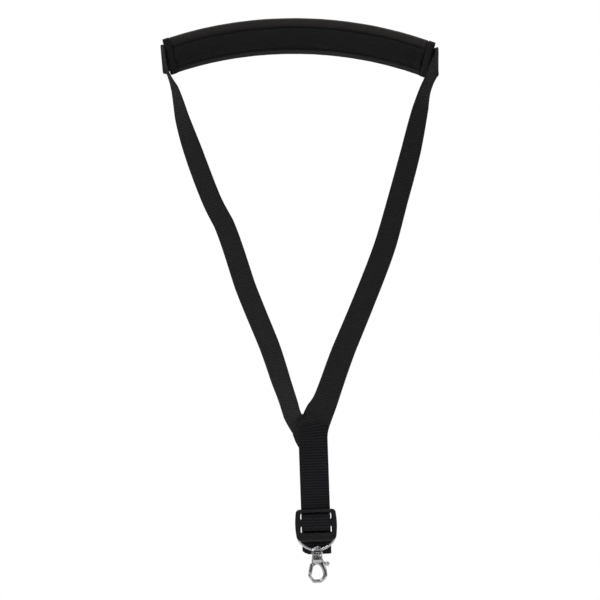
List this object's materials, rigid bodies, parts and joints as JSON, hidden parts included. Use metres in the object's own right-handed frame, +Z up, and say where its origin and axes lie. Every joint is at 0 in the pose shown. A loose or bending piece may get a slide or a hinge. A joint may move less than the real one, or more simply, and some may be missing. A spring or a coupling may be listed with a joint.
{
  "type": "saxophone neck strap",
  "caption": "Padded neck strap for a saxophone: plush crescent pad, webbing straps to a sewn junction, length slider, D-ring and swivel trigger hook.",
  "frame": {"origin": "middle of the pad's inner face, on its crown, where it lies against the back of the neck", "axes": "+Z up, from the hook towards the pad; +X along the pad towards the wearer's left; +Y away from the neck, towards the wearer's back"},
  "size_m": [0.2385, 0.0633, 0.4899],
  "materials": {
    "plush": "short black pile, matt",
    "foam": "soft foam core",
    "backing": "plain black lining",
    "webbing": "woven black webbing with cross ribs",
    "binding": "flat woven tape, brownish black",
    "thread": "black polyester thread",
    "moulding": "satin black moulding",
    "chrome": "bright nickel plate on cast zinc and steel",
    "steel_pin": "plain steel pin",
    "spring_steel": "spring wire"
  },
  "bodies": {
    "neck_strap": {"pad_facing": "plush", "pad_foam": "foam", "pad_backing": "backing", "pad_webbing": "webbing", "binding_top": "binding", "binding_bottom": "binding", "end_hem_left": "binding", "end_hem_right": "binding", "pad_stitching": "thread", "strap_left": "webbing", "strap_right": "webbing", "bar_tack_left": "thread", "bar_tack_right": "thread", "drop_strap_top": "webbing", "junction_stitching": "thread", "drop_strap": "webbing"},
    "adjuster": {"slider": "moulding", "adjuster_webbing": "webbing"},
    "ring": {"d_ring": "chrome"},
    "eye": {"swivel_eye": "chrome"},
    "hook": {"hook_body": "chrome", "swivel_rivet": "chrome", "gate_pin": "steel_pin", "gate_spring": "spring_steel"},
    "gate_lever": {"gate": "chrome"}
  },
  "joints": [
    {"name": "length_adjust", "type": "slide", "parent": "neck_strap", "child": "adjuster", "axis": [0, 0, 1], "range_m": [0, 0.044], "deforming": ["drop_strap"]},
    {"name": "ring_hinge", "type": "hinge", "parent": "adjuster", "child": "ring", "pos_m": [0, -0.0189, -0.4299], "axis": [1, 0, 0], "range_deg": [-20, 10]},
    {"name": "eye_swing", "type": "hinge", "parent": "ring", "child": "eye", "pos_m": [0, -0.0189, -0.4422], "axis": [1, 0, 0], "range_deg": [-75, 15]},
    {"name": "hook_swivel", "type": "hinge", "parent": "eye", "child": "hook", "pos_m": [0, -0.0189, -0.446], "axis": [0, 0, 1], "continuous": true},
    {"name": "gate_hinge", "type": "hinge", "parent": "hook", "child": "gate_lever", "pos_m": [-0.0004, -0.0189, -0.4519], "axis": [0, -1, 0], "range_deg": [0, 27], "stiffness_Nm_per_rad": 0.02, "springref_deg": -20.05, "deforming": ["gate_spring"]}
  ]
}
